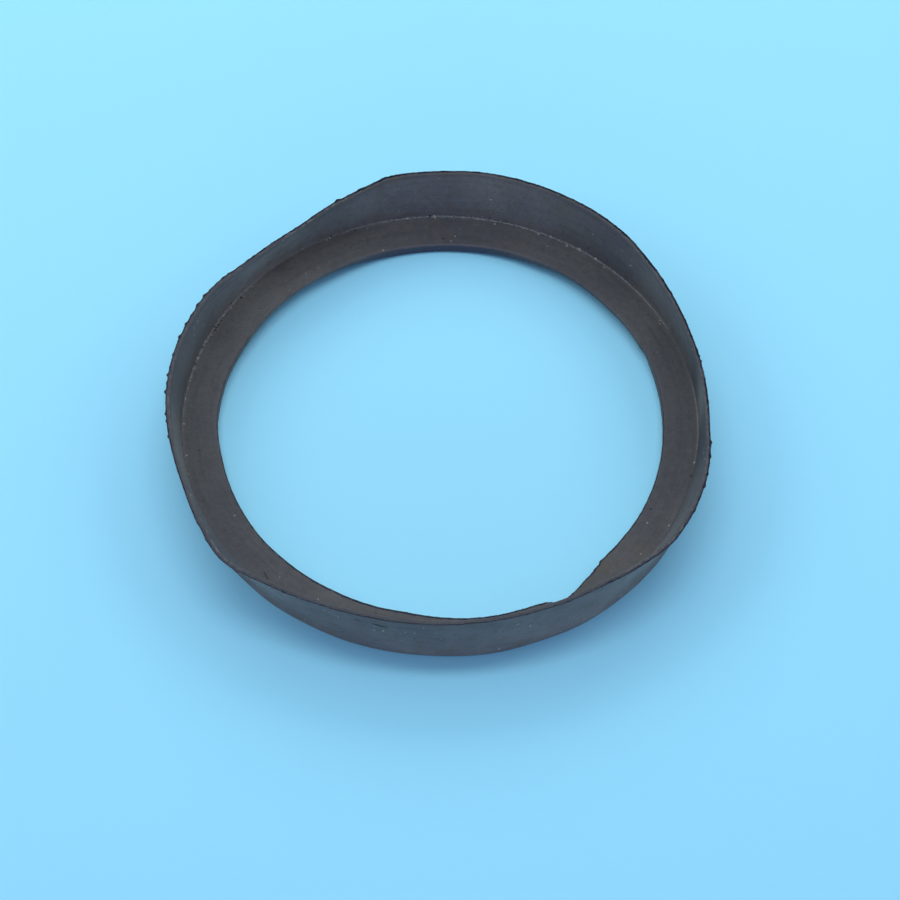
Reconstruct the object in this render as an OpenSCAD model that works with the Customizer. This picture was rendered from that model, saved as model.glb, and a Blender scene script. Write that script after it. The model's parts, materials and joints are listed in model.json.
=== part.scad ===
// Cup seal: a moulded rubber ring of L section. A flat flange lies on its
// underside, and a thin wall stands up round the outside of it. The rim of the
// wall has taken a set in use, so it bulges in some places and is drawn in at
// others, and one stretch of the flange's edge is worn back.
// Millimetres. The origin is the centre of the hole, at the underside. +Z is up.
// Directions round the ring are degrees from +X, anticlockwise from above.

/* [Flange] */
// Diameter of the hole through the flange
hole_d = 76; // [50:1:120]
// Width of the flange, from the hole to the outside of the wall
flange_w = 7; // [5:0.5:15]
// Thickness of the flange
flange_t = 1.8; // [1:0.1:3]
// Radius of the outside corner under the flange
corner_r = 0.6; // [0.2:0.1:0.9]

/* [Wall] */
// Height of the rim over the underside, measured up the wall
wall_h = 11; // [7:0.5:25]
// Thickness of the wall where it leaves the flange
wall_t = 1; // [0.6:0.1:2]
// Thickness of the wall at the rim
rim_t = 0.8; // [0.4:0.1:1.5]
// Bevel on the inside edge of the rim
rim_bevel = 0.25; // [0.05:0.05:0.35]
// Leg of the fillet inside the fold, where the wall leaves the flange
fold_leg = 0.4; // [0.1:0.1:1]
// Share of the rim's set that is kept: 0 is a straight wall, 1 is as it lies
rim_set = 1; // [0:0.1:1.2]

/* [Worn edge] */
// Direction of the deepest point of the worn stretch
worn_at = 300; // [0:5:360]
// Depth of the deepest point, from the round edge of the hole
worn_depth = 2.8; // [0.5:0.1:3.5]

/* [Hidden] */

hole_r = hole_d / 2;
foot_r = hole_r + flange_w;

// Where the rim leans: a direction, and how far the rim stands outside the foot
// there. The last row is the first one again, a turn later.
rim_leans = [
    [0, -0.3], [14, -0.8], [28, -0.4], [38, 0.4], [48, 1.4], [60, 2.0],
    [78, 2.5], [92, 2.1], [101, 1.8], [107, 0.4], [116, -0.9], [124, -2.0],
    [131, -2.2], [142, -1.7], [152, -0.2], [160, 0.3], [172, 1.0], [190, 1.0],
    [204, 1.5], [214, 2.6], [223, 3.4], [233, 2.1], [246, 0.9], [262, 0.5],
    [286, 0.7], [303, 1.3], [312, 2.1], [321, 3.1], [330, 2.9], [340, 2.0],
    [351, 0.4], [360, -0.3]
];
last_lean = len(rim_leans) - 1;

// Outline of the worn stretch: a direction counted from worn_at, and the share
// of worn_depth that is lost there
worn_outline = [
    [-46, 0], [-34, 0.2], [-22, 0.5], [-6, 0.55], [0, 1], [11, 0.35], [14, 0]
];
// The cutter starts this far inside the hole
worn_clear = 3;

// The lean grows up the wall as this power of the way up
lean_power = 1.4;
// Steps round the ring, and up each side of the wall
ring_steps = 120;
wall_rows = 5;
// The wall's flat facets keep this far inside the round foot that they stand in
facet_clear = 0.05;
// Roundness of the foot
foot_fn = 180;
// The wall is upright up to this height, just clear of the flange, and leans above it
lean_from = flange_t + facet_clear;
free_h = wall_h - lean_from;

// Slope of the lean at one row of rim_leans, from the rows on both sides of it
function lean_slope(i) =
    let (before = i == 0 ? rim_leans[last_lean - 1] - [360, 0] : rim_leans[i - 1])
    let (after = i == last_lean ? rim_leans[1] + [360, 0] : rim_leans[i + 1])
    (after[1] - before[1]) / (after[0] - before[0]);

// Row of rim_leans that starts the stretch holding a direction
function lean_row(direction, i = 0) =
    direction < rim_leans[i + 1][0] || i == last_lean - 1
        ? i
        : lean_row(direction, i + 1);

// Lean of the rim at any direction: a smooth curve through the rows
function rim_lean(direction) =
    let (i = lean_row(direction))
    let (start = rim_leans[i], end = rim_leans[i + 1])
    let (span = end[0] - start[0])
    let (t = (direction - start[0]) / span)
    rim_set * (
        start[1] * (1 + 2 * t) * (1 - t) ^ 2
        + end[1] * t ^ 2 * (3 - 2 * t)
        + span * lean_slope(i) * t * (1 - t) ^ 2
        - span * lean_slope(i + 1) * t ^ 2 * (1 - t)
    );

// Height of the leaning part of the wall: the more it leans, the lower it stands
function rim_rise(lean) = free_h - lean ^ 2 / (2 * free_h);

// Point of the outside of the wall, at a share of the way up: [radius, height]
function outside(lean, share) = [
    foot_r - facet_clear + lean * share ^ lean_power,
    lean_from + rim_rise(lean) * share
];

// Angle by which the wall leans outwards at a share of the way up
function tilt(lean, share) =
    atan2(lean * lean_power * share ^ (lean_power - 1), rim_rise(lean));

// Point at a depth under the outside of the wall, square to it
function inward(lean, share, depth) =
    let (a = tilt(lean, share))
    outside(lean, share) + depth * [-cos(a), sin(a)];

// Thickness of the wall at a share of the way up
function thickness(share) = wall_t + (rim_t - wall_t) * share;

// Section of the wall at one direction, anticlockwise from its foot: up the
// outside, over the rim, down the inside, and by the fillet back into the foot
function wall_section(lean) =
    let (bevel_share = 1 - rim_bevel / free_h)
    let (fold_share = fold_leg / free_h)
    let (inner_foot = foot_r - facet_clear - wall_t - fold_leg)
    concat(
        [[foot_r - facet_clear, flange_t / 2]],
        [for (k = [0:wall_rows]) outside(lean, k / wall_rows)],
        [
            inward(lean, 1, rim_t - rim_bevel),
            inward(lean, bevel_share, thickness(bevel_share))
        ],
        [for (k = [1:wall_rows])
            let (share = bevel_share + (fold_share - bevel_share) * k / wall_rows)
            inward(lean, share, thickness(share))],
        [[inner_foot, flange_t * 0.95], [inner_foot, flange_t / 2]]
    );

// Flange, with its round hole and the rounded corner under the wall
module flange() {
    rotate_extrude($fn = foot_fn)
        union() {
            translate([hole_r, 0])
                square([flange_w - corner_r, flange_t]);
            translate([hole_r, corner_r])
                square([flange_w, flange_t - corner_r]);
            translate([foot_r - corner_r, corner_r])
                circle(corner_r, $fn = 48);
        }
}

// Wall: its section carried round the ring, leaning as the rim leans
module wall() {
    sections = [for (i = [0:ring_steps - 1]) wall_section(rim_lean(i * 360 / ring_steps))];
    count = len(sections[0]);
    points = [
        for (i = [0:ring_steps - 1])
            let (direction = i * 360 / ring_steps)
            for (p = sections[i])
                [p[0] * cos(direction), p[0] * sin(direction), p[1]]
    ];
    faces = [
        for (i = [0:ring_steps - 1])
            let (next = (i + 1) % ring_steps)
            for (j = [0:count - 1])
                let (up = (j + 1) % count)
                each [
                    [i * count + j, i * count + up, next * count + up],
                    [i * count + j, next * count + up, next * count + j]
                ]
    ];
    polyhedron(points, faces, convexity = 4);
}

// What is missing from the edge of the flange along the worn stretch
module worn_edge() {
    inner_r = hole_r - worn_clear;
    outline = concat(
        [for (p = worn_outline)
            let (radius = hole_r + worn_depth * p[1])
            radius * [cos(worn_at + p[0]), sin(worn_at + p[0])]],
        [for (i = [len(worn_outline) - 1:-1:0])
            let (direction = worn_at + worn_outline[i][0])
            inner_r * [cos(direction), sin(direction)]]
    );
    translate([0, 0, -1])
        linear_extrude(flange_t + 2)
            polygon(outline);
}

// The whole seal, moulded as one piece
module cup_seal() {
    color([0.24, 0.26, 0.29])
        union() {
            difference() {
                flange();
                worn_edge();
            }
            wall();
        }
}

cup_seal();
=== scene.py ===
# A cup seal of black rubber that has been in use, lying on a pale blue table.
import json
import math

import bmesh
import bpy
from mathutils import Matrix, Vector, noise


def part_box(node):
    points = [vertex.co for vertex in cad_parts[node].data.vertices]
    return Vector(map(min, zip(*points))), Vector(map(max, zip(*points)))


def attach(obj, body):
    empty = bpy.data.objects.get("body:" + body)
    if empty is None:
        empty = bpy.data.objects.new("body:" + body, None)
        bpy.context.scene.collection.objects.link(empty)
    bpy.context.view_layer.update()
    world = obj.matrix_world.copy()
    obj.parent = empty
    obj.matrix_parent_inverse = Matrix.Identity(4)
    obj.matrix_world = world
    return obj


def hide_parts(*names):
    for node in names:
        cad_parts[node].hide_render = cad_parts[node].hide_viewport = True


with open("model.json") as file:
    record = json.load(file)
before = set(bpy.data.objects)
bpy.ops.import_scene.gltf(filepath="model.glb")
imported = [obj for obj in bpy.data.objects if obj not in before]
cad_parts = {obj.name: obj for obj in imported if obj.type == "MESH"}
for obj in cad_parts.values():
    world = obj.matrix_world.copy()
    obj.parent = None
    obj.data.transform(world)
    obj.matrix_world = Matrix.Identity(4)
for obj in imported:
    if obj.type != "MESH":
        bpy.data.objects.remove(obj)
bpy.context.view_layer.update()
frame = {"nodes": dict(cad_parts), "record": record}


# The seal. The whole ring is one moulding in black nitrile rubber: a flat flange, with
# a thin wall round the outside of it. A split mould left flash in its fold and on its
# rim, and in use its wall has buckled and part of the flange's edge has worn away.
MM = 0.001
RING_STEPS = 1360
STEP = 360 / RING_STEPS

bore = next(m for m in frame["record"]["mounts"] if m["name"] == "bore")
hole_r = bore["dims"]["r_mm"]
flange_t = bore["dims"]["length_mm"]
# Sizes as moulded, in millimetres: the wall at the flange and at the rim, the bevel
# inside the rim, and the roundings of the fold and of the hole's lower corner
wall_t = 1.0
rim_t = 0.8
rim_bevel = 0.25
fold_rounding = 0.35
hole_rounding = 0.12
# The wall is upright up to here, and above it the lean grows as a power of the way up
lean_from = flange_t + 0.05
lean_power = 1.4


def direction_of(point):
    """Direction of a point from the axis, in degrees from 0 to 360."""
    return math.degrees(math.atan2(point[1], point[0])) % 360


def apart(direction, other):
    """Angle between two directions, in degrees from 0 to 180."""
    return abs((direction - other + 180) % 360 - 180)


def stretch(rows, direction):
    """The row before a direction in a closed list of [direction, value] rows, the
    share of the way from it to the next one, and the angle between the two."""
    i = max((k for k in range(len(rows)) if rows[k][0] <= direction), default=-1)
    span = (rows[(i + 1) % len(rows)][0] - rows[i][0]) % 360
    return i, ((direction - rows[i][0]) % 360) / span, span


def with_corners(rows, direction):
    """Value at a direction, by straight stretches from row to row."""
    i, t = stretch(rows, direction)[:2]
    return rows[i][1] + (rows[(i + 1) % len(rows)][1] - rows[i][1]) * t


def smoothly(rows, direction):
    """Value at a direction, on a smooth closed curve through the rows."""
    i, t, span = stretch(rows, direction)
    before, start = rows[i - 1], rows[i]
    end, after = rows[(i + 1) % len(rows)], rows[(i + 2) % len(rows)]
    slope_in = (end[1] - before[1]) / ((end[0] - before[0]) % 360)
    slope_out = (after[1] - start[1]) / ((after[0] - start[0]) % 360)
    return (
        start[1] * (1 + 2 * t) * (1 - t) ** 2
        + end[1] * t**2 * (3 - 2 * t)
        + span * slope_in * t * (1 - t) ** 2
        - span * slope_out * t**2 * (1 - t)
    )


# The foot and the rim are read from the solid: the rim's outer corner is the widest
# point near the top at each of the solid's steps round the ring.
CAD_STEPS = 120
NEAR_TOP = 0.9
ON_STEP = 0.02
seal_cad = frame["nodes"]["cup_seal"]
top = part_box("cup_seal")[1].z
foot_r = max(
    math.hypot(v.co.x, v.co.y) / MM
    for v in seal_cad.data.vertices
    if v.co.z < flange_t * MM / 2
)
rim_corners = [[0.0, 0.0] for step in range(CAD_STEPS)]
for v in seal_cad.data.vertices:
    steps_round = direction_of(v.co) * CAD_STEPS / 360
    step = round(steps_round) % CAD_STEPS
    radius = math.hypot(v.co.x, v.co.y) / MM
    on_step = abs(steps_round - round(steps_round)) < ON_STEP
    if on_step and v.co.z > NEAR_TOP * top and radius > rim_corners[step][0]:
        rim_corners[step] = [radius, v.co.z / MM]
rim_radius = [[k * 360 / CAD_STEPS, rim_corners[k][0]] for k in range(CAD_STEPS)]
rim_height = [[k * 360 / CAD_STEPS, rim_corners[k][1]] for k in range(CAD_STEPS)]
wall_h = max(corner[1] for corner in rim_corners)
fold_r = foot_r - wall_t

# Section as moulded, [radius, height, rounding] of each corner in millimetres:
# hole, underside, outside of the wall, rim, inside of the wall, fold, hole. Its edges
# are cut to a longest length, which is less in a band under the rim and at its tip.
RIM_BAND = 1.6
RIM_TIP = 0.3
LONGEST_EDGE = 0.66
LONGEST_IN_BAND = 0.33
LONGEST_AT_TIP = 0.16
section_corners = [
    [hole_r, 0, hole_rounding],
    [foot_r, 0, 0.2],
    [foot_r, wall_h - RIM_BAND, 0],
    [foot_r, wall_h - RIM_TIP, 0],
    [foot_r, wall_h, 0.05],
    [foot_r - rim_t + rim_bevel, wall_h, 0.05],
    [foot_r - rim_t, wall_h - rim_bevel, 0.08],
    [fold_r, flange_t, fold_rounding],
    [hole_r, flange_t, 0.2],
]

seal = bmesh.new()
corner_verts = [seal.verts.new((r * MM, 0, z * MM)) for r, z, rounding in section_corners]
seal.faces.new(corner_verts)
for vert, corner in zip(corner_verts, section_corners):
    rounding = corner[2]
    if rounding:
        bmesh.ops.bevel(
            seal,
            geom=[vert],
            offset=rounding * MM,
            offset_type="OFFSET",
            segments=6 if rounding == fold_rounding else 2,
            profile=0.5,
            affect="VERTICES",
            material=-1,
        )
for edge in list(seal.edges):
    middle = (edge.verts[0].co + edge.verts[1].co) / 2 / MM
    longest = LONGEST_EDGE
    if middle.z > wall_h - RIM_TIP:
        longest = LONGEST_AT_TIP
    elif middle.z > wall_h - RIM_BAND:
        longest = LONGEST_IN_BAND
    cuts = int(edge.calc_length() / MM / longest)
    if cuts and middle.z > 0:
        bmesh.ops.subdivide_edges(seal, edges=[edge], cuts=cuts)
bmesh.ops.delete(seal, geom=list(seal.faces), context="FACES_ONLY")

# One sixteenth of the ring is spun, and then doubled four times to close it
DOUBLINGS = 4
SECTOR = 360 / 2**DOUBLINGS
bmesh.ops.spin(
    seal,
    geom=list(seal.verts) + list(seal.edges),
    cent=(0, 0, 0),
    axis=(0, 0, 1),
    angle=math.radians(SECTOR),
    steps=RING_STEPS // 2**DOUBLINGS,
)
for doubling in range(DOUBLINGS):
    copy = bmesh.ops.duplicate(seal, geom=seal.verts[:] + seal.edges[:] + seal.faces[:])
    bmesh.ops.rotate(
        seal,
        verts=[item for item in copy["geom"] if isinstance(item, bmesh.types.BMVert)],
        cent=(0, 0, 0),
        matrix=Matrix.Rotation(math.radians(SECTOR * 2**doubling), 3, "Z"),
    )
bmesh.ops.remove_doubles(seal, verts=seal.verts, dist=0.0005 * MM)
bmesh.ops.recalc_face_normals(seal, faces=seal.faces)
# Merging leaves the faces in any order, so they are sorted by two of their corners
seal.verts.index_update()
count = len(seal.verts)
seal.faces.sort(key=lambda face: face.verts[0].index * count + face.verts[2].index)

# How the seal has changed in use, and where light and shade are painted on it, as
# [direction, value] rows round the ring, in degrees and millimetres. First, how far the edge
# of the hole lies outside its round line: a little uneven all round, and worn back from
# 261 to 313 degrees.
hole_edge = [
    [2, -0.05], [14, 0], [21, 0.1], [23, -0.2], [31, -0.4], [38, -0.65], [56, -0.55],
    [64, -0.7], [76, -0.65], [90, -0.8], [105, -1.05], [120, -1.5], [135, -1.3],
    [150, -1.1], [160, -0.7], [167, -0.3], [180, 0], [192, -0.35], [205, -0.25],
    [212, -0.2], [218, -0.1], [228, -0.15], [242, -0.05], [254, 0.18], [261.5, 0.2],
    [267, 0.6], [276, 1.2], [283, 1.5], [291, 1.6], [295, 1.85], [297.5, 2.7], [300, 2.85],
    [303, 2.35], [306, 1.75], [310, 1.1], [311.7, 0.9], [312.5, 0.55], [321, 0.4],
    [330, 0.35], [342, 0.15], [352, 0],
]
# How far the foot of the wall lies outside its round line
foot_shift = [
    [0, 0], [30, -0.05], [60, -0.15], [90, -0.2], [120, -0.15], [150, -0.05], [180, 0],
    [205, 0], [218, -0.2], [224, -0.3], [232, -0.15], [240, -0.2], [250, -0.05], [260, 0],
    [270, 0.1], [280, 0.4], [290, 0.35], [300, 0.55], [310, 0.45], [320, 0.4], [330, 0.15],
    [340, 0],
]
# How far the rim lies outside the solid's rim
rim_shift = [
    [0, 0], [60, -0.1], [90, -0.1], [105, -0.15], [112, -0.3], [122, -0.25], [135, -0.15],
    [145, -0.1], [160, -0.1], [172, -0.2], [185, 0], [200, -0.1], [213, -0.15], [225, 0],
    [300, 0], [308, 0.12], [318, 0.12], [325, 0],
]
# Height by which the edge of the hole has lifted off the table
edge_lift = [
    [0, 0.1], [15, 0.3], [30, 0.75], [50, 0.75], [62, 0.55], [74, 0.3], [84, 0.05], [93, 0],
    [101, 0.1], [109, 0.35], [117, 0.7], [127, 0.85], [142, 0.85], [155, 0.7], [168, 0.4],
    [185, 0.2], [205, 0.1], [230, 0], [270, 0], [330, 0], [348, 0],
]
# Share of the flange's thickness that is missing from below at the edge of the hole
edge_thin = [
    [0, 0], [14, 0.05], [24, 0.4], [34, 0.5], [55, 0.5], [66, 0.3], [76, 0.1], [84, 0],
    [103, 0], [110, 0.2], [117, 0.45], [130, 0.55], [150, 0.55], [162, 0.4], [172, 0.15],
    [182, 0],
]
# Nibs of flash on the rim: direction, how far each stands out, half its width in
# degrees. A nib's foot is wider by NIB_SPREAD, and between the nibs the flash is ragged.
nibs = [
    [6.7, 0.2, 0.4], [8.1, 0.15, 0.3], [99.4, 0.15, 0.3], [102.2, 0.12, 0.6],
    [108.1, 0.16, 0.9], [114, 0.3, 0.6], [148, 0.15, 0.8], [154.1, 0.2, 0.45],
    [157, 0.22, 0.6], [160.2, 0.12, 0.5], [162.6, 0.25, 0.45], [166.3, 0.2, 0.5],
    [171, 0.12, 0.5], [176.3, 0.28, 0.45], [178.3, 0.12, 0.5], [180.6, 0.25, 0.5],
    [186.2, 0.22, 0.4], [188, 0.15, 0.3], [191.9, 0.2, 0.45], [227.1, 0.12, 0.5],
    [335.5, 0.15, 0.4], [342.6, 0.18, 0.45], [345.9, 0.26, 0.5],
]
NIB_SPREAD = 1.3
RAGGED_FLASH = 0.12

# Small lip under the rim, where the outside has split along a short line: where it
# lies, half its length in degrees, how far it is under the rim, and its slant
SPLIT_AT = 255.8
SPLIT_HALF = 3.4
SPLIT_BELOW = 2.05
SPLIT_SLANT = 0.1

# How strongly the line of flash shows in the fold, and how many crumbs lie on it
fold_line = [
    [0, 0.9], [8, 0.6], [12, 0], [24, 0], [26, 0.9], [50, 0.8], [70, 1], [100, 1],
    [111, 0.8], [118, 0.5], [123, 0.2], [128, 0.4], [134, 0.15], [140, 0.8], [160, 0.9],
    [172, 0.6], [186, 0.4], [196, 0.2], [204, 0], [345, 0], [350, 0.5], [356, 0.9],
]
fold_crumbs = [
    [0, 0.2], [20, 0], [40, 0.1], [48, 0.4], [60, 0.3], [80, 0.5], [96, 0.5], [104, 0.2],
    [116, 0.4], [124, 0.2], [135, 0.2], [142, 0.6], [150, 1], [165, 0.8], [175, 0.4],
    [195, 0.3], [205, 0.1], [215, 0],
]
# Half the width of the torn rim's dark line
rim_torn = [
    [0, 0.15], [20, 0.17], [50, 0.26], [60, 0.3], [103, 0.3], [112, 0.16], [140, 0.13],
    [205, 0.12], [218, 0.1], [228, 0.07], [300, 0.07], [312, 0.1], [322, 0.13], [332, 0.15],
]
# How pale the line inside the rim is, partly rubbed and partly a painted highlight where its
# corner catches the light, and how far down the wall it has moved
rubbed_and_painted_highlight = [
    [0, 0.25], [15, 0.2], [30, 0.25], [45, 0.3], [62, 0.3], [80, 0.3], [100, 0.35],
    [113, 0.8], [128, 0.6], [140, 0.3], [155, 0.25], [175, 0.35], [190, 0.3], [203, 0.7],
    [215, 1.1], [224, 0.5], [231, 0.05], [300, 0.05], [312, 0.4], [325, 0.45], [337, 0.35],
    [348, 0.3],
]
pale_line_down = [[180, 0], [193, 0.5], [206, 0.9], [213, 0.8], [220, 0.3], [227, 0], [350, 0]]
# Half the width of the torn line along the edge of the hole, with none where it is
# less than zero, and the strength of the painted highlight along the edge's top corner and of
# the painted bluish reflection of the table on its face
edge_torn = [
    [0, 0.06], [15, 0], [25, -0.1], [127, -0.1], [136, 0.02], [165, 0.03], [180, 0.05],
    [200, 0.08], [215, 0.12], [230, 0.16], [250, 0.22], [290, 0.23], [310, 0.18],
    [330, 0.12], [345, 0.09],
]
edge_rubbed = [[0, 0], [58, 0], [70, 0.4], [82, 0.7], [100, 0.7], [108, 0.3], [114, 0]]
# Grey on the inside of the wall, partly dry bloom and partly painted light and shade, and
# how much more of it lies near the rim than near the fold, a painted gradient of light up
# the wall. Below zero, it darkens the rubber as painted shade.
wall_bloom = [
    [0, 0.68], [7, 0.12], [15, 0.36], [30, 0.48], [45, 0.16], [60, 0.3], [75, 0.5],
    [90, 0.4], [105, 0.5], [120, 0.56], [135, 1], [150, 0.64], [165, 0.43], [180, 0.31],
    [190, 0.6], [197, 0.65], [205, 0.3], [215, 0.1], [225, 0], [305, 0], [320, 0.2],
    [332, 0.15], [340, 0.12], [350, -0.12], [354, 0.2],
]
bloom_rise = [
    [0, 0.3], [14, 0.2], [30, 0], [60, -0.1], [90, 0], [105, -0.2], [120, -0.3],
    [150, -0.2], [180, -0.3], [195, 0], [215, 0.4], [330, 0.2], [345, 0.2],
]
# The same on the outside of the wall
outside_bloom = [
    [40, 0.4], [150, 0.4], [216, 0.75], [230, 0.82], [240, 0.61], [250, 0.47], [262, 0.5],
    [275, 0.5], [290, 0.56], [300, 0.66], [310, 0.95], [330, 0.85],
]
outside_rise = [[200, 0.4], [235, 0.3], [255, -0.3], [300, -0.3], [325, 0.2]]
# Bloom on the flange, partly painted light and shade, and painted light added to it close to
# the fold, where shade falls
flange_bloom = [
    [0, 0.14], [15, 0.15], [30, 0.28], [45, 0.12], [60, 0.14], [75, 0.06], [90, 0.05],
    [105, 0.2], [120, 0.28], [135, 0.48], [150, 0.37], [165, 0.31], [180, 0.19],
    [195, 0.14], [210, 0.13], [225, 0.14], [235, 0.15], [245, 0.2], [262, 0.15],
    [300, 0.15], [320, 0.16], [330, 0.11], [345, 0.07],
]
fold_bloom = [
    [0, 0.15], [30, 0.15], [48, 0.15], [60, 0.05], [95, 0.05], [110, 0.15], [130, 0.45],
    [150, 0.28], [165, 0.22], [185, 0.15], [200, 0.05], [320, 0], [345, 0.12],
]
# Brown stain on the flange, on the inside of the wall and on the outside of it
flange_stain = [
    [0, 0], [60, 0.15], [90, 0.25], [130, 0.25], [150, 0], [228, 0], [238, 0.1],
    [255, 0.12], [285, 0.4], [300, 0.9], [314, 0.7], [325, 0.15], [340, 0],
]
wall_stain = [
    [0, 0.15], [45, 0.3], [60, 0.5], [90, 0.6], [120, 0.7], [140, 0.3], [165, 0.1],
]
outside_stain = [[235, 0.35], [250, 0.5], [275, 0.5], [290, 0.35]]

changing_smoothly = {
    "foot": foot_shift,
    "lift": edge_lift,
    "scuffed_down": pale_line_down,
    "wall_bloom": wall_bloom,
    "bloom_rise": bloom_rise,
    "outside_bloom": outside_bloom,
    "outside_rise": outside_rise,
    "flange_bloom": flange_bloom,
    "fold_bloom": fold_bloom,
}
changing_at_corners = {
    "thin": edge_thin,
    "fold_shows": fold_line,
    "fold_crumbs": fold_crumbs,
    "torn": rim_torn,
    "scuffed": rubbed_and_painted_highlight,
    "edge_torn": edge_torn,
    "edge_rubbed": edge_rubbed,
    "flange_stain": flange_stain,
    "wall_stain": wall_stain,
    "outside_stain": outside_stain,
}

# Every direction's values, for all the points there. A little noise, in millimetres,
# leaves neither the rim nor the edge of the hole quite even.
ring = []
for k in range(RING_STEPS):
    direction = k * STEP
    turn = Vector((math.cos(math.radians(direction)), math.sin(math.radians(direction)), 0))
    here = {"turn": turn}
    for name, rows in changing_smoothly.items():
        here[name] = smoothly(rows, direction)
    for name, rows in changing_at_corners.items():
        here[name] = with_corners(rows, direction)
    flash = sum(
        out * max(0, 1 - (apart(direction, at) / width / NIB_SPREAD) ** 2) ** 1.5
        for at, out, width in nibs
    )
    ragged = noise.noise(turn * 35) + noise.noise(turn * 75) + 0.6 * noise.noise(turn * 190)
    here["flash"] = flash + RAGGED_FLASH * max(0, ragged)
    here["rim_r"] = (
        smoothly(rim_radius, direction)
        + smoothly(rim_shift, direction)
        + 0.05 * noise.noise(turn * 25)
    )
    here["rim_z"] = smoothly(rim_height, direction) + 0.03 * noise.noise(turn * 40)
    worn = with_corners(hole_edge, direction)
    here["edge"] = worn + (0.04 + 0.03 * min(worn, 1)) * noise.noise(turn * 30)
    here["edge_rough"] = 0.06 * min(max(worn, 0), 1) + 0.015
    here["cracked"] = max(0, 1 - apart(direction, SPLIT_AT) / SPLIT_HALF) ** 0.5
    here["crack_below"] = (
        SPLIT_BELOW + SPLIT_SLANT * (direction - SPLIT_AT) + 0.12 * noise.noise(turn * 60)
    )
    ring.append(here)

# Points this near a face of the section are on it. The flat land of the rim, the bevel
# and the top of the flange each take in the points this far under them.
SKIN = 0.02
LAND_BAND = 0.06
BEVEL_BAND = 0.12
FLANGE_BAND = 0.3
# Way over the surface at the rim's outer corner
rim_at = foot_r - hole_r + wall_h - flange_t


def way_over(r, z):
    """Way over the surface, in millimetres, from the top corner of the hole: over the
    flange, up the wall, over the rim, down the outside and back under the flange."""
    if foot_r - r < SKIN:
        return rim_at + wall_h - z
    if z < flange_t / 2 and r > hole_r + hole_rounding + SKIN:
        return rim_at + wall_h + (foot_r - r)
    return r - hole_r + z - flange_t


def face_of(r, z):
    """Face of the section that a point lies on, before it is moved."""
    depth = foot_r - r
    land_t = rim_t - rim_bevel
    if z > wall_h - LAND_BAND and depth < land_t + SKIN:
        return "land"
    if z > wall_h - rim_bevel - BEVEL_BAND and depth > land_t + SKIN:
        return "bevel"
    if depth < SKIN:
        return "outside"
    if depth < wall_t + SKIN and z > flange_t + fold_rounding - SKIN:
        return "inside"
    return "flange_top" if z > flange_t - FLANGE_BAND else "under"


# How far from the fold the painted light near it reaches, what share of the bloom and
# painted light is left on the bevel, and the land of the rim, which is darker than the rest
PAINTED_LIGHT_NEAR_FOLD_REACH = 3
BEVEL_BLOOM_AND_PAINTED_LIGHT = 0.4
LAND_BLOOM = -0.03


def weathering_and_painted_light(face, r, z, here):
    """Grey bloom with painted light and shade, and brown stain, at a point of the section."""
    up_wall = (z - flange_t) / (wall_h - flange_t)
    inside_bloom_and_painted_light = here["wall_bloom"] * (1 + here["bloom_rise"] * (up_wall - 0.5))
    if face == "land":
        return LAND_BLOOM, 0.0
    if face == "bevel":
        return inside_bloom_and_painted_light * BEVEL_BLOOM_AND_PAINTED_LIGHT, here["wall_stain"]
    if face == "inside":
        return inside_bloom_and_painted_light, here["wall_stain"]
    if face == "outside":
        outer_bloom_and_painted_light = here["outside_bloom"] * (1 + here["outside_rise"] * (up_wall - 0.5))
        return outer_bloom_and_painted_light, here["outside_stain"]
    # Painted light is added to the flange near the fold, where shade falls
    near_fold = max(0, 1 - (fold_r - r) / PAINTED_LIGHT_NEAR_FOLD_REACH)
    flange_stained = here["flange_stain"] if face == "flange_top" else 0.0
    return here["flange_bloom"] + here["fold_bloom"] * near_fold, flange_stained


# The line of flash in the fold: how far it is from the corner, half its width, its height
BEAD_OFF = 0.1
BEAD_HALF = 0.12
BEAD_HEIGHT = 0.05
# How rough the torn rim is, down to TORN_REACH. The flash is full down to FLASH_FULL,
# and gone FLASH_REACH below that and FLASH_DEPTH inside the outer corner.
LAND_GRIT = 0.035
BEVEL_GRIT = 0.05
TORN_REACH = 0.1
FLASH_REACH = 0.35
FLASH_DEPTH = 0.1
FLASH_FULL = 0.05
# How the split pulls the outside: its reach, how it gathers, its lip and the dip under it
SPLIT_REACH = 0.8
SPLIT_GATHER = 0.6
SPLIT_LIP = 0.1
SPLIT_DIP = 0.08


def with_flash(face, r, z, here, grit):
    """Radius and height of a point of the section, with flash, torn rim and split."""
    depth = foot_r - r
    off_line = math.hypot(r - fold_r + BEAD_OFF, z - flange_t - BEAD_OFF)
    if off_line < BEAD_HALF:
        bead = (1 - off_line / BEAD_HALF) ** 0.5 * here["fold_shows"] * (0.8 + grit)
        r -= BEAD_HEIGHT * bead
        z += BEAD_HEIGHT * bead
    if face == "land" or (face == "outside" and z > wall_h - TORN_REACH):
        z += LAND_GRIT * grit
    if face == "bevel":
        z -= BEVEL_GRIT * max(0, grit)
    if z > wall_h - FLASH_REACH - FLASH_FULL and depth < FLASH_DEPTH:
        r += here["flash"] * min(1, max(0, 1 - (wall_h - FLASH_FULL - z) / FLASH_REACH))
    if face == "outside" and here["cracked"]:
        above = z - (wall_h - here["crack_below"])
        near_split = max(0, 1 - abs(above) / SPLIT_REACH) * here["cracked"]
        z -= above * SPLIT_GATHER * near_split
        r += (SPLIT_LIP if above > 0 else -SPLIT_DIP) * near_split
    return r, z


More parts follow.
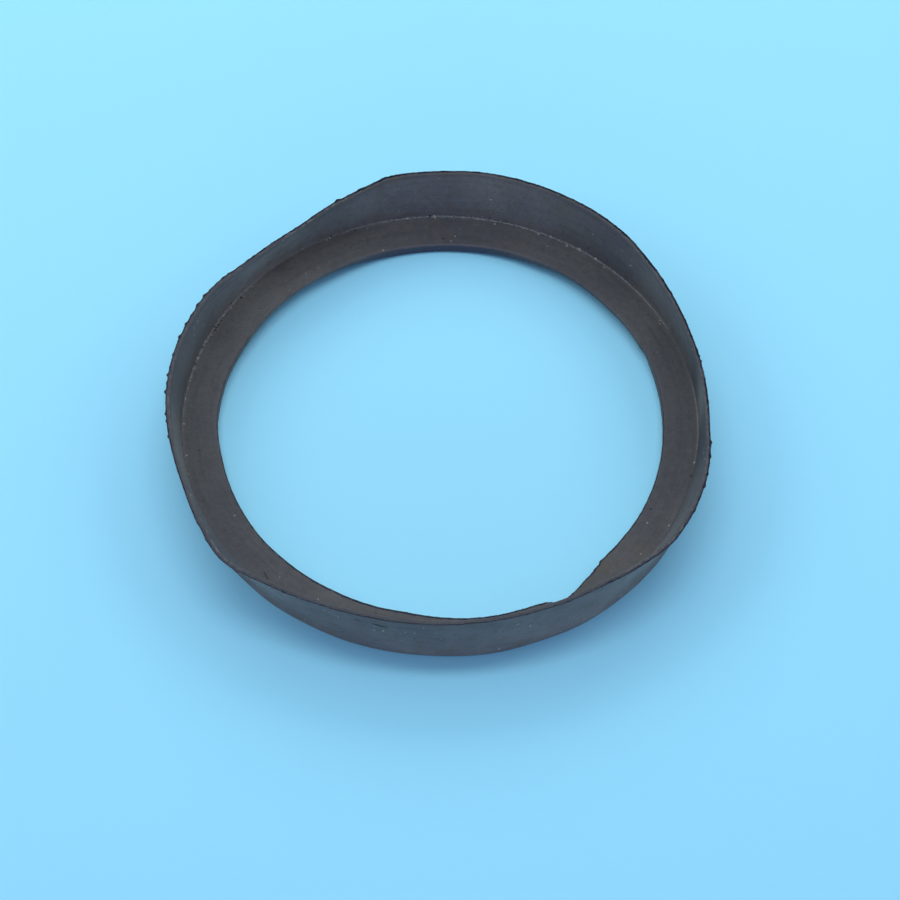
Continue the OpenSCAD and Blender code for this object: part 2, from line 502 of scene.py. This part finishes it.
def on_leaning_wall(r, z, here):
    """Radius and height of a point of the wall, which keeps its depth, square to the
    outside, as the wall leans."""
    share = (z - lean_from) / (wall_h - lean_from)
    lean = here["rim_r"] - foot_r
    rise = here["rim_z"] - lean_from
    tilt = math.atan2(lean * lean_power * share ** (lean_power - 1), rise)
    wave = 0.05 * share * noise.noise(here["turn"] * 9 + Vector((0, 0, z * 0.25)))
    out_r = foot_r + lean * share**lean_power + here["foot"] * (1 - share) + wave
    out_z = lean_from + rise * share
    depth = foot_r - r
    return out_r - depth * math.cos(tilt), out_z + depth * math.sin(tilt)


# Above this height the flange is a little wavy, and from this share of the way from the
# fold to the hole it is rough
WAVY_FROM = 0.3
ROUGH_EDGE = 0.97


def on_lifted_flange(r, z, here):
    """Radius and height of a point of the flange, with its worn and lifted edge."""
    turn = here["turn"]
    inside = min(1, max(0, (fold_r - r) / (fold_r - hole_r)))
    r += here["edge"] * inside + here["foot"] * (1 - inside)
    z += max(0, flange_t - z) * here["thin"] * inside
    z += here["lift"] * inside
    if z > WAVY_FROM:
        z += 0.03 * noise.noise(turn * r * 0.35) * inside
    if inside > ROUGH_EDGE:
        r += here["edge_rough"] * noise.noise(turn * 400 + Vector((0, 0, z * 2)))
    return r, z


# What the mesh carries for the material at every point
layers = seal.verts.layers.float
across = layers.new("across")
bloom = layers.new("bloom")
stain = layers.new("stain")
shown_along_ring = {
    name: layers.new(name)
    for name in (
        "fold_shows", "fold_crumbs", "torn", "scuffed", "scuffed_down",
        "edge_torn", "edge_rubbed", "cracked", "crack_below",
    )
}
GRIT_FINENESS = 3.1

for v in seal.verts:
    here = ring[round(direction_of(v.co) / STEP) % RING_STEPS]
    turn = here["turn"]
    r = math.hypot(v.co.x, v.co.y) / MM
    z = v.co.z / MM
    face = face_of(r, z)
    for name, layer in shown_along_ring.items():
        v[layer] = here[name]
    v[across] = way_over(r, z)
    v[bloom], v[stain] = weathering_and_painted_light(face, r, z, here)
    grit = noise.noise(turn * r * GRIT_FINENESS + Vector((0, 0, z * GRIT_FINENESS)))
    r, z = with_flash(face, r, z, here, grit)
    if z > lean_from:
        r, z = on_leaning_wall(r, z, here)
    else:
        r, z = on_lifted_flange(r, z, here)
    v.co = turn * r * MM + Vector((0, 0, max(0, z) * MM))

rubber_mesh = bpy.data.meshes.new("seal_ring")
seal.to_mesh(rubber_mesh)
seal.free()
rubber_mesh.shade_smooth()
seal_ring = bpy.data.objects.new("seal_ring", rubber_mesh)
bpy.context.scene.collection.objects.link(seal_ring)

# Its rubber is black, gone grey with a dry bloom, and that grey also carries painted light
# and shade. It has faint streaks along the ring from the mould, brown stains, crumbs of flash
# and dust. The rim and the edge of the hole are torn dark; a pale line under the rim is partly
# rubbed and partly a painted highlight, the edge of the hole has a painted highlight on its top
# corner and a painted reflection of the table on its face, and the fold has a pale grey line of
# flash.
rubber = bpy.data.materials.new("worn_black_rubber")
rubber.use_nodes = True
shader = rubber.node_tree.nodes["Principled BSDF"]


def shading(kind, sockets, **settings):
    """New node of the rubber; a socket is given a value or another node's output."""
    made = rubber.node_tree.nodes.new("ShaderNode" + kind)
    for name, value in settings.items():
        setattr(made, name, value)
    for socket, value in sockets.items():
        if isinstance(value, bpy.types.NodeSocket):
            rubber.node_tree.links.new(value, made.inputs[socket])
        else:
            made.inputs[socket].default_value = value
    return made


def from_mesh(name):
    """Output of a value that the mesh carries."""
    return shading("Attribute", {}, attribute_name=name).outputs["Fac"]


def times(a, b):
    """Product of two outputs or numbers."""
    return shading("Math", {0: a, 1: b}, operation="MULTIPLY").outputs[0]


def plus(a, b):
    """Sum of two outputs or numbers."""
    return shading("Math", {0: a, 1: b}, operation="ADD").outputs[0]


def minus(a, b):
    """Difference of two outputs or numbers."""
    return shading("Math", {0: a, 1: b}, operation="SUBTRACT").outputs[0]


def unsigned(a):
    """Size of an output without its sign."""
    return shading("Math", {0: a}, operation="ABSOLUTE").outputs[0]


def ranged(value, low, high, to_low=0.0, to_high=1.0):
    """A value's range moved from low..high, and held inside to_low..to_high."""
    sockets = {"Value": value, 1: low, 2: high, 3: to_low, 4: to_high}
    return shading("MapRange", sockets).outputs["Result"]


def cloudy(where, scale, detail=2.0):
    """Noise, from 0 to 1, with its features 1 / scale across."""
    sockets = {"Vector": where, "Scale": scale, "Detail": detail}
    return shading("TexNoise", sockets).outputs["Fac"]


def tinted(under, colour, share):
    """A colour laid over another by a share from 0 to 1."""
    made = shading("Mix", {0: share, 6: under}, data_type="RGBA")
    made.inputs[7].default_value = (*colour, 1)
    return made.outputs[2]


place = shading("TexCoord", {}).outputs["Object"]
flat = shading("SeparateXYZ", {0: place}).outputs
# Streaks from the mould: how many to a metre along the ring, and to a millimetre across
STREAKS_ALONG = 70.0
STREAKS_ACROSS = 1.5
streaky = shading(
    "CombineXYZ",
    {
        0: times(flat[0], STREAKS_ALONG),
        1: times(flat[1], STREAKS_ALONG),
        2: times(from_mesh("across"), STREAKS_ACROSS),
    },
).outputs[0]
streaks = cloudy(streaky, 1.0, 4.0)
clouds = cloudy(place, 130.0, 3.0)
mottles = cloudy(place, 900.0, 3.0)
grain = cloudy(place, 2600.0, 3.0)

BLACK_RUBBER = (0.0575, 0.066, 0.0745)
# Grey that the bloom and the painted light tint the rubber towards
BLOOM_AND_PAINTED_LIGHT_GREY = (0.203, 0.215, 0.194)
# Black that painted shade tints the rubber towards, where the bloom is below zero
PAINTED_SHADE_BLACK = (0.012, 0.014, 0.017)
PALE_GREY = (0.20, 0.205, 0.215)
DARK_GREY = (0.025, 0.026, 0.032)
DARK_GRAIN = (0.020, 0.021, 0.026)
BROWN = (0.110, 0.090, 0.052)


def patterned(under, pattern, pale, dark, dark_colour=DARK_GREY):
    """A colour that a pattern makes paler where it is high and darker where it is low;
    pale and dark give the pattern's range, and how much of the tint it turns into."""
    under = tinted(under, PALE_GREY, ranged(pattern, *pale))
    return tinted(under, dark_colour, ranged(pattern, *dark))


# The bloom is partly dry bloom and partly painted light and shade; it tints the rubber towards
# a pale grey.
bloom_and_painted_light_share = times(from_mesh("bloom"), ranged(clouds, 0.3, 0.7, 0.75, 1.25))
colour = tinted((*BLACK_RUBBER, 1), BLOOM_AND_PAINTED_LIGHT_GREY, bloom_and_painted_light_share)
# Below zero the bloom darkens the rubber: painted shade on the inside of the wall near 350
# degrees, and a slightly darker land on the rim
colour = tinted(colour, PAINTED_SHADE_BLACK, ranged(from_mesh("bloom"), 0.0, -1.0))
colour = patterned(colour, streaks, (0.52, 0.80, 0, 0.11), (0.47, 0.25, 0, 0.22))
colour = patterned(colour, mottles, (0.52, 0.75, 0, 0.08), (0.48, 0.25, 0, 0.20))
colour = patterned(colour, grain, (0.50, 0.80, 0, 0.10), (0.50, 0.25, 0, 0.25), DARK_GRAIN)
stained = times(from_mesh("stain"), ranged(cloudy(place, 420.0, 3.0), 0.45, 0.75, 0.1, 0.8))
colour = tinted(colour, BROWN, stained)

# Lines run round the ring, at a way over its surface that frays by up to this much, in
# millimetres
FRAYING = 0.15
frayed = ranged(cloudy(place, 1100.0, 2.0), 0.2, 0.8, -FRAYING, FRAYING)
over = plus(frayed, from_mesh("across"))
fold_at = fold_r - hole_r


def on_line(at, half, fade):
    """Share of a line at a way over the surface; half is half its width, and its
    sides fade out beyond that."""
    away = unsigned(minus(over, at))
    return ranged(minus(away, half), 0.0, fade, 1.0, 0.0)


def broken(line, scale, detail, low, high, least=0.0):
    """A line that noise breaks up, down to its least share."""
    return times(line, ranged(cloudy(place, scale, detail), low, high, least, 1.0))


# the pale line of flash in the fold, and a faint dark line in the fold where the flash line
# shows less
FLASH_GREY = (0.185, 0.208, 0.192)
FOLD_DARK = (0.020, 0.021, 0.024)
lined = times(from_mesh("fold_shows"), on_line(fold_at, 0.10, 0.12))
colour = tinted(colour, FLASH_GREY, broken(lined, 1500.0, 1.0, 0.4, 0.58, 0.3))
dark_in_fold = times(minus(1.0, from_mesh("fold_shows")), on_line(fold_at, 0.1, 0.25))
colour = tinted(colour, FOLD_DARK, times(dark_in_fold, 0.3))

# the pale line under the bevel, partly rubbed and partly a painted highlight where the corner
# catches the light, and the torn rim
PALE_LINE_UNDER_RIM = 0.5
TEAR_OVER_RIM = 0.06
RUBBED_AND_PAINTED_HIGHLIGHT_GREY = (0.190, 0.180, 0.175)
TORN_RIM = (0.010, 0.013, 0.023)
pale_line_at = minus(rim_at - PALE_LINE_UNDER_RIM, from_mesh("scuffed_down"))
rub_and_painted_highlight = times(from_mesh("scuffed"), on_line(pale_line_at, 0.07, 0.16))
colour = tinted(colour, RUBBED_AND_PAINTED_HIGHLIGHT_GREY, broken(rub_and_painted_highlight, 1000.0, 2.0, 0.48, 0.6))
torn_half = from_mesh("torn")
tear = on_line(minus(rim_at + TEAR_OVER_RIM, torn_half), torn_half, 0.07)
tear = broken(tear, 500.0, 2.0, 0.35, 0.52, 0.5)
tear = times(tear, ranged(torn_half, 0.06, 0.18, 0.7, 1.0))
colour = tinted(colour, TORN_RIM, tear)

# the edge of the hole: a painted bluish reflection of the table on its face, a torn dark line,
# and a painted highlight along its top corner
PAINTED_TABLE_REFLECTION = (0.058, 0.064, 0.100)
TORN_EDGE = (0.016, 0.019, 0.036)
PAINTED_EDGE_HIGHLIGHT = (0.100, 0.098, 0.120)
EDGE_HIGHLIGHT_AT = 0.2
painted_table_reflection = times(from_mesh("edge_rubbed"), ranged(from_mesh("across"), -0.05, -0.4, 0.0, 0.8))
colour = tinted(colour, PAINTED_TABLE_REFLECTION, painted_table_reflection)
edge_half = from_mesh("edge_torn")
colour = tinted(colour, TORN_EDGE, on_line(edge_half, edge_half, 0.06))
painted_edge_highlight = times(from_mesh("edge_rubbed"), on_line(EDGE_HIGHLIGHT_AT, 0.12, 0.15))
colour = tinted(colour, PAINTED_EDGE_HIGHLIGHT, painted_edge_highlight)

# the dark line of the split
SPLIT_BLACK = (0.010, 0.010, 0.012)
crack = times(from_mesh("cracked"), on_line(plus(rim_at, from_mesh("crack_below")), 0.1, 0.1))
crack = broken(crack, 600.0, 2.0, 0.4, 0.5, 0.1)
colour = tinted(colour, SPLIT_BLACK, ranged(crack, 0.02, 0.25))


def scattered(scale):
    """Distance from the middle of each of many scattered cells, and three random
    numbers that each cell has."""
    cells = shading("TexVoronoi", {"Vector": place, "Scale": scale, "Randomness": 1.0})
    numbers = shading("SeparateColor", {0: cells.outputs["Color"]}).outputs
    return cells.outputs["Distance"], numbers


# Dust: most specks are pale and some are dark. They lie in flocks, more of them in the
# fold and on the outside of the wall.
PALE_DUST = (0.36, 0.355, 0.33)
DARK_DUST = (0.012, 0.012, 0.014)
from_speck, chosen = scattered(1400.0)
in_fold = times(from_mesh("fold_crumbs"), on_line(fold_at, 0.3, 0.5))
on_outside = ranged(from_mesh("across"), rim_at, rim_at + 0.3, -0.04, 0.045)
flock = ranged(cloudy(place, 160.0, 2.0), 0.42, 0.68, -0.08, 0.12)
flock = plus(plus(flock, in_fold), on_outside)
reach = ranged(plus(chosen[0], flock), 0.84, 1.04, 0.0, 0.34)
speck = ranged(minus(reach, from_speck), 0.0, 0.05)
pale = times(speck, ranged(chosen[1], 0.3, 0.35, 0.0, 1.0))
pale = times(pale, ranged(chosen[2], 0.0, 1.0, 0.2, 0.9))
dark = times(speck, ranged(chosen[1], 0.3, 0.35, 0.8, 0.0))
colour = tinted(colour, PALE_DUST, pale)
colour = tinted(colour, DARK_DUST, dark)

# One short scratch on the flange, on the near left: its middle, its direction, and half
# its length and width, in metres. It stays clear of the hole and the fold.
SCRATCH_AT = (-0.0287, -0.0309, 0.0018)
SCRATCH_ALONG = (0.48, -0.877, 0)
SCRATCH_ACROSS = (0.877, 0.48, 0)
SCRATCH_HALF_LENGTH = 0.0007
SCRATCH_HALF_WIDTH = 0.00006
SCRATCH_FADE = 0.00016
SCRATCH_DARK = (0.012, 0.014, 0.013)
FLANGE_MIDDLE = 4
FLANGE_HALF = 1.5
from_scratch = shading("VectorMath", {0: place, 1: SCRATCH_AT}, operation="SUBTRACT").outputs[0]
scratch = on_line(FLANGE_MIDDLE, FLANGE_HALF, 0.5)
for way, half in ((SCRATCH_ALONG, SCRATCH_HALF_LENGTH), (SCRATCH_ACROSS, SCRATCH_HALF_WIDTH)):
    off = shading("VectorMath", {0: from_scratch, 1: way}, operation="DOT_PRODUCT")
    within = ranged(unsigned(off.outputs["Value"]), half, half + SCRATCH_FADE, 1.0, 0.0)
    scratch = times(scratch, within)
colour = tinted(colour, SCRATCH_DARK, times(scratch, 0.65))

# Crumbs of flash, finer than the dust, along the line in the fold
PALE_CRUMB = (0.28, 0.30, 0.26)
DARK_CRUMB = (0.012, 0.014, 0.015)
from_crumb, kinds = scattered(2600.0)
crumb = times(in_fold, ranged(from_crumb, 0.38, 0.28))
crumb = times(crumb, on_line(fold_at, 0.25, 0.3))
colour = tinted(colour, PALE_CRUMB, times(crumb, ranged(kinds[0], 0.62, 0.66)))
colour = tinted(colour, DARK_CRUMB, times(crumb, ranged(kinds[0], 0.32, 0.28)))
rubber.node_tree.links.new(colour, shader.inputs["Base Color"])

# The rubber has hardly any sheen, and none where the rim is torn
matt = shading("Mix", {0: tear, 2: ranged(grain, 0.3, 0.7, 0.58, 0.74), 3: 1.0}).outputs[0]
rubber.node_tree.links.new(matt, shader.inputs["Roughness"])
shader.inputs["Specular IOR Level"].default_value = 0.2
height = plus(times(streaks, 0.6), grain)
bump = shading("Bump", {"Height": height, "Strength": 0.35, "Distance": 0.00012})
rubber.node_tree.links.new(bump.outputs["Normal"], shader.inputs["Normal"])
rubber_mesh.materials.append(rubber)

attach(seal_ring, "root")
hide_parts("cup_seal")


# The table. A smooth painted board, pale blue and matt, that the seal lies on. It is
# much wider than the view, so that none of its edges shows.
TABLE_WIDTH = 4
TABLE_BLUE = (0.30, 0.77, 0.97, 1)
bpy.ops.mesh.primitive_plane_add(size=TABLE_WIDTH)
table = bpy.context.object
table.name = "table"
blue_paint = bpy.data.materials.new("pale_blue_paint")
blue_paint.use_nodes = True
board = blue_paint.node_tree.nodes["Principled BSDF"]
board.inputs["Base Color"].default_value = TABLE_BLUE
board.inputs["Roughness"].default_value = 0.7
table.data.materials.append(blue_paint)


# The light. Long soft panels stand left and right of the table and behind it, one
# hangs nearly overhead, a low bluish one stands on the near side, and a dim bluish
# room fills the rest.
def soft_panel(name, azimuth, elevation, distance, width, height, watts, colour=(1, 1, 1)):
    """Rectangular lamp that faces the seal; azimuth is in degrees from +X."""
    lamp = bpy.data.lights.new(name, "AREA")
    lamp.shape = "RECTANGLE"
    lamp.size = width
    lamp.size_y = height
    lamp.energy = watts
    lamp.color = colour
    panel = bpy.data.objects.new(name, lamp)
    a, e = math.radians(azimuth), math.radians(elevation)
    away = Vector((math.cos(a) * math.cos(e), math.sin(a) * math.cos(e), math.sin(e)))
    panel.location = away * distance
    panel.rotation_euler = panel.location.to_track_quat("Z", "Y").to_euler()
    bpy.context.scene.collection.objects.link(panel)


NEAR_TINT = (0.95, 1, 1.5)
ROOM_TINT = (0.95, 1, 1.7, 1)
ROOM_STRENGTH = 0.16
soft_panel("left_panel", 165, 34, 0.8, 0.75, 0.35, 2.08)
soft_panel("right_panel", 15, 34, 0.8, 0.75, 0.35, 1.52)
soft_panel("back_panel", 90, 32, 0.7, 0.9, 0.3, 2.4)
soft_panel("top_panel", 90, 79, 0.8, 0.9, 0.15, 2.16)
soft_panel("near_panel", 270, 10, 0.8, 0.9, 0.16, 1.7, NEAR_TINT)
room = bpy.data.worlds.new("dim_bluish_room")
room.use_nodes = True
room_light = room.node_tree.nodes["Background"]
room_light.inputs["Color"].default_value = ROOM_TINT
room_light.inputs["Strength"].default_value = ROOM_STRENGTH
bpy.context.scene.world = room


# The camera. It looks down on the seal from its near side, 56 degrees up and less than
# half a metre away, and aims a little to the right of the axis and below it.
CAMERA_ELEVATION = 56.2
CAMERA_DISTANCE = 0.428
AIM_RIGHT = 0.00163
AIM_DOWN = 0.00445
camera_data = bpy.data.cameras.new("camera")
camera_data.lens = 100
camera_data.sensor_width = 36
camera_data.clip_start = 0.01
camera = bpy.data.objects.new("camera", camera_data)
up_tilt = math.radians(CAMERA_ELEVATION)
camera.location = Vector((0, -math.cos(up_tilt), math.sin(up_tilt))) * CAMERA_DISTANCE
picture_up = Vector((0, math.sin(up_tilt), math.cos(up_tilt)))
aim = Vector((1, 0, 0)) * AIM_RIGHT - picture_up * AIM_DOWN
camera.rotation_euler = (aim - camera.location).to_track_quat("-Z", "Y").to_euler()
bpy.context.scene.collection.objects.link(camera)
bpy.context.scene.camera = camera
bpy.context.scene.view_settings.view_transform = "Standard"
